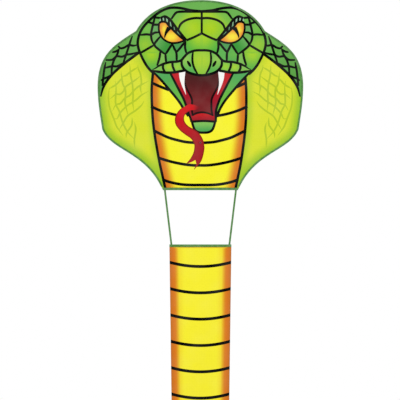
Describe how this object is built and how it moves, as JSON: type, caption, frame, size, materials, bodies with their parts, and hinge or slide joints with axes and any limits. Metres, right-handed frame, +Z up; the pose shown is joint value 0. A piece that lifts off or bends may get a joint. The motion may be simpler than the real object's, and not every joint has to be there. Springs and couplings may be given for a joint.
{
  "type": "snake kite",
  "caption": "Single-line snake kite: rod-framed printed hood, vent straps and a long tail folded and tied.",
  "frame": {"origin": "centre of the upper bridle eyelet, in the mid-plane of the head's cloth", "axes": "+X to the right as the printed face is seen, +Z up to the crown, +Y away from the printed face towards the rods"},
  "size_m": [0.617, 0.0217, 1.3748],
  "materials": {
    "printed_cloth": "printed polyester kite cloth, fine weave, slight sheen",
    "tail_cloth": "printed polyester kite cloth, fine weave, slight sheen",
    "green_tape": "woven green binding tape, matt",
    "webbing": "black woven pocket cloth, matt",
    "rod": "black glass-fibre rod, satin",
    "vinyl": "black moulded vinyl, satin",
    "eyelet": "black enamelled brass eyelet",
    "elastic": "black ribbed elastic webbing"
  },
  "bodies": {
    "head": {"head_sail": "printed_cloth", "edge_binding_left": "green_tape", "edge_binding_right": "green_tape", "head_bottom_hem": "green_tape", "head_hem_batten": "rod", "spine_rod": "rod", "spine_cap_top": "vinyl", "spine_cap_foot": "vinyl", "spine_pocket_top": "webbing", "spine_pocket_foot": "webbing", "spine_sleeve_1": "webbing", "spine_sleeve_2": "webbing", "spine_sleeve_3": "webbing", "spine_sleeve_4": "webbing", "upper_spar": "rod", "upper_spar_cap_left": "vinyl", "upper_spar_cap_right": "vinyl", "upper_spar_pocket_left": "webbing", "upper_spar_pocket_right": "webbing", "upper_cross_joiner": "vinyl", "lower_spar": "rod", "lower_spar_cap_left": "vinyl", "lower_spar_cap_right": "vinyl", "lower_spar_pocket_left": "webbing", "lower_spar_pocket_right": "webbing", "lower_cross_joiner": "vinyl", "upper_bridle_eyelet": "eyelet", "upper_bridle_patch": "webbing", "lower_bridle_eyelet": "eyelet", "lower_bridle_patch": "webbing"},
    "straps": {"vent_strap_left": "green_tape", "vent_strap_right": "green_tape"},
    "tail_top": {"tail_header_hem": "green_tape", "tail_header_batten": "rod", "tail_section_1": "tail_cloth"},
    "tail_second": {"tail_section_2": "tail_cloth"},
    "tail_third": {"tail_section_3": "tail_cloth"},
    "tail_fourth": {"tail_section_4": "tail_cloth"},
    "tail_fold": {"folded_tail": "tail_cloth"},
    "tie_band": {"tail_tie_band": "elastic"}
  },
  "joints": [
    {"name": "strap_swing", "type": "hinge", "parent": "head", "child": "straps", "pos_m": [0, 0, -0.4692], "axis": [1, 0, 0], "range_deg": [-60, 60]},
    {"name": "header_swing", "type": "hinge", "parent": "straps", "child": "tail_top", "pos_m": [0, 0, -0.6306], "axis": [1, 0, 0], "range_deg": [-45, 45]},
    {"name": "tail_flex_1", "type": "hinge", "parent": "tail_top", "child": "tail_second", "pos_m": [0, 0, -0.75708], "axis": [1, 0, 0], "range_deg": [-35, 35]},
    {"name": "tail_flex_2", "type": "hinge", "parent": "tail_second", "child": "tail_third", "pos_m": [0, 0, -0.87545], "axis": [1, 0, 0], "range_deg": [-35, 35]},
    {"name": "tail_flex_3", "type": "hinge", "parent": "tail_third", "child": "tail_fourth", "pos_m": [0, 0, -0.99382], "axis": [1, 0, 0], "range_deg": [-35, 35]},
    {"name": "fold_swing", "type": "hinge", "parent": "tail_fourth", "child": "tail_fold", "pos_m": [0, 0, -1.1122], "axis": [1, 0, 0], "range_deg": [-40, 40]},
    {"name": "band_slide", "type": "slide", "parent": "tail_fold", "child": "tie_band", "axis": [0, 0, -1], "range_m": [0, 0.1]}
  ]
}
